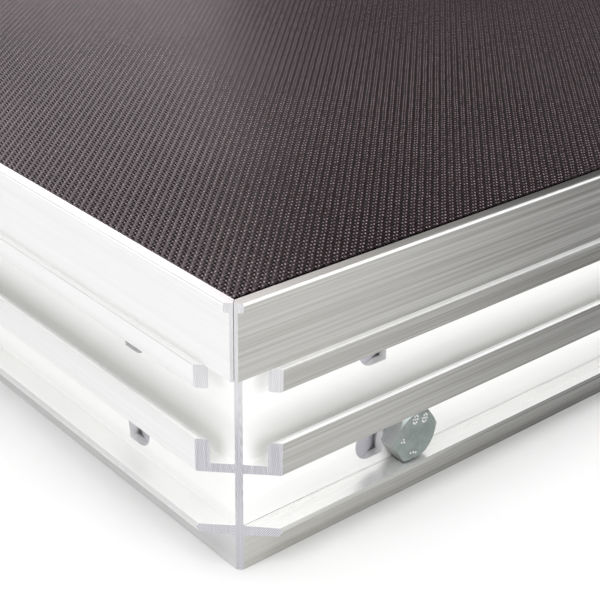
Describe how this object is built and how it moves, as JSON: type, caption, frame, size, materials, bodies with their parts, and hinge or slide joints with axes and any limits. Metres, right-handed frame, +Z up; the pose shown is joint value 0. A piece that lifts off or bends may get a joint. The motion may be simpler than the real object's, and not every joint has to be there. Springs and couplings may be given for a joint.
{
  "type": "stage riser platform",
  "caption": "Rectangular stage deck of dark mesh-faced plywood in a mitred aluminium frame with outer T-grooves and a clamping leg socket in each corner.",
  "frame": {"origin": "centre of the footprint, on the plane the frame's bottom edge rests on", "axes": "+X along the long side, +Y along the short side from front to back, +Z up through the deck"},
  "size_m": [2, 1, 0.095],
  "materials": {
    "frame": "mill-finish extruded aluminium with fine lengthwise draw lines, saw-cut ends",
    "plywood": "birch plywood, dark phenolic film underneath",
    "deck_film": "dark brown phenolic film pressed with a fine wire mesh",
    "seal": "black joint compound",
    "beam": "mill-finish rectangular tube",
    "tape": "black rubber tape",
    "casting": "sand-cast aluminium, slightly rough",
    "jaw": "zinc-plated malleable iron",
    "bolt": "zinc-plated steel, slightly green grey",
    "fastener": "bright zinc-plated steel"
  },
  "bodies": {
    "platform": {"frame_front": "frame", "frame_back": "frame", "frame_left": "frame", "frame_right": "frame", "deck_panel": "plywood", "deck_surface": "deck_film", "edge_seal": "seal", "cross_beam_left": "beam", "beam_tape_left": "tape", "cross_beam_middle": "beam", "beam_tape_middle": "tape", "cross_beam_right": "beam", "beam_tape_right": "tape", "beam_brackets_front": "beam", "beam_brackets_back": "beam", "bracket_screws": "fastener", "beam_rivets": "fastener", "deck_screws": "fastener", "leg_socket_front_left": "casting", "clamp_bolt_front_left": "bolt", "leg_socket_front_right": "casting", "clamp_bolt_front_right": "bolt", "leg_socket_back_left": "casting", "clamp_bolt_back_left": "bolt", "leg_socket_back_right": "casting", "clamp_bolt_back_right": "bolt"},
    "clamp_jaw_front_left": {"clamp_jaw_front_left": "jaw", "clamp_washer_front_left": "fastener"},
    "clamp_nut_front_left": {"clamp_nut_front_left": "fastener"},
    "clamp_jaw_front_right": {"clamp_jaw_front_right": "jaw", "clamp_washer_front_right": "fastener"},
    "clamp_nut_front_right": {"clamp_nut_front_right": "fastener"},
    "clamp_jaw_back_left": {"clamp_jaw_back_left": "jaw", "clamp_washer_back_left": "fastener"},
    "clamp_nut_back_left": {"clamp_nut_back_left": "fastener"},
    "clamp_jaw_back_right": {"clamp_jaw_back_right": "jaw", "clamp_washer_back_right": "fastener"},
    "clamp_nut_back_right": {"clamp_nut_back_right": "fastener"}
  },
  "joints": [
    {"name": "jaw_slide_front_left", "type": "slide", "parent": "platform", "child": "clamp_jaw_front_left", "axis": [0, 1, 0], "range_m": [0, 0.004]},
    {"name": "nut_turn_front_left", "type": "hinge", "parent": "clamp_jaw_front_left", "child": "clamp_nut_front_left", "pos_m": [-0.92535, -0.42365, 0.0254], "axis": [0, 1, 0], "range_deg": [0, 960]},
    {"name": "jaw_slide_front_right", "type": "slide", "parent": "platform", "child": "clamp_jaw_front_right", "axis": [0, 1, 0], "range_m": [0, 0.004]},
    {"name": "nut_turn_front_right", "type": "hinge", "parent": "clamp_jaw_front_right", "child": "clamp_nut_front_right", "pos_m": [0.92535, -0.42365, 0.0254], "axis": [0, 1, 0], "range_deg": [0, 960]},
    {"name": "jaw_slide_back_left", "type": "slide", "parent": "platform", "child": "clamp_jaw_back_left", "axis": [0, -1, 0], "range_m": [0, 0.004]},
    {"name": "nut_turn_back_left", "type": "hinge", "parent": "clamp_jaw_back_left", "child": "clamp_nut_back_left", "pos_m": [-0.92535, 0.42365, 0.0254], "axis": [0, -1, 0], "range_deg": [0, 960]},
    {"name": "jaw_slide_back_right", "type": "slide", "parent": "platform", "child": "clamp_jaw_back_right", "axis": [0, -1, 0], "range_m": [0, 0.004]},
    {"name": "nut_turn_back_right", "type": "hinge", "parent": "clamp_jaw_back_right", "child": "clamp_nut_back_right", "pos_m": [0.92535, 0.42365, 0.0254], "axis": [0, -1, 0], "range_deg": [0, 960]}
  ],
  "couplings": [
    {"joint": "nut_turn_front_left", "follows": "jaw_slide_front_left", "rad_per_m": 4188.8},
    {"joint": "nut_turn_front_right", "follows": "jaw_slide_front_right", "rad_per_m": 4188.8},
    {"joint": "nut_turn_back_left", "follows": "jaw_slide_back_left", "rad_per_m": 4188.8},
    {"joint": "nut_turn_back_right", "follows": "jaw_slide_back_right", "rad_per_m": 4188.8}
  ]
}
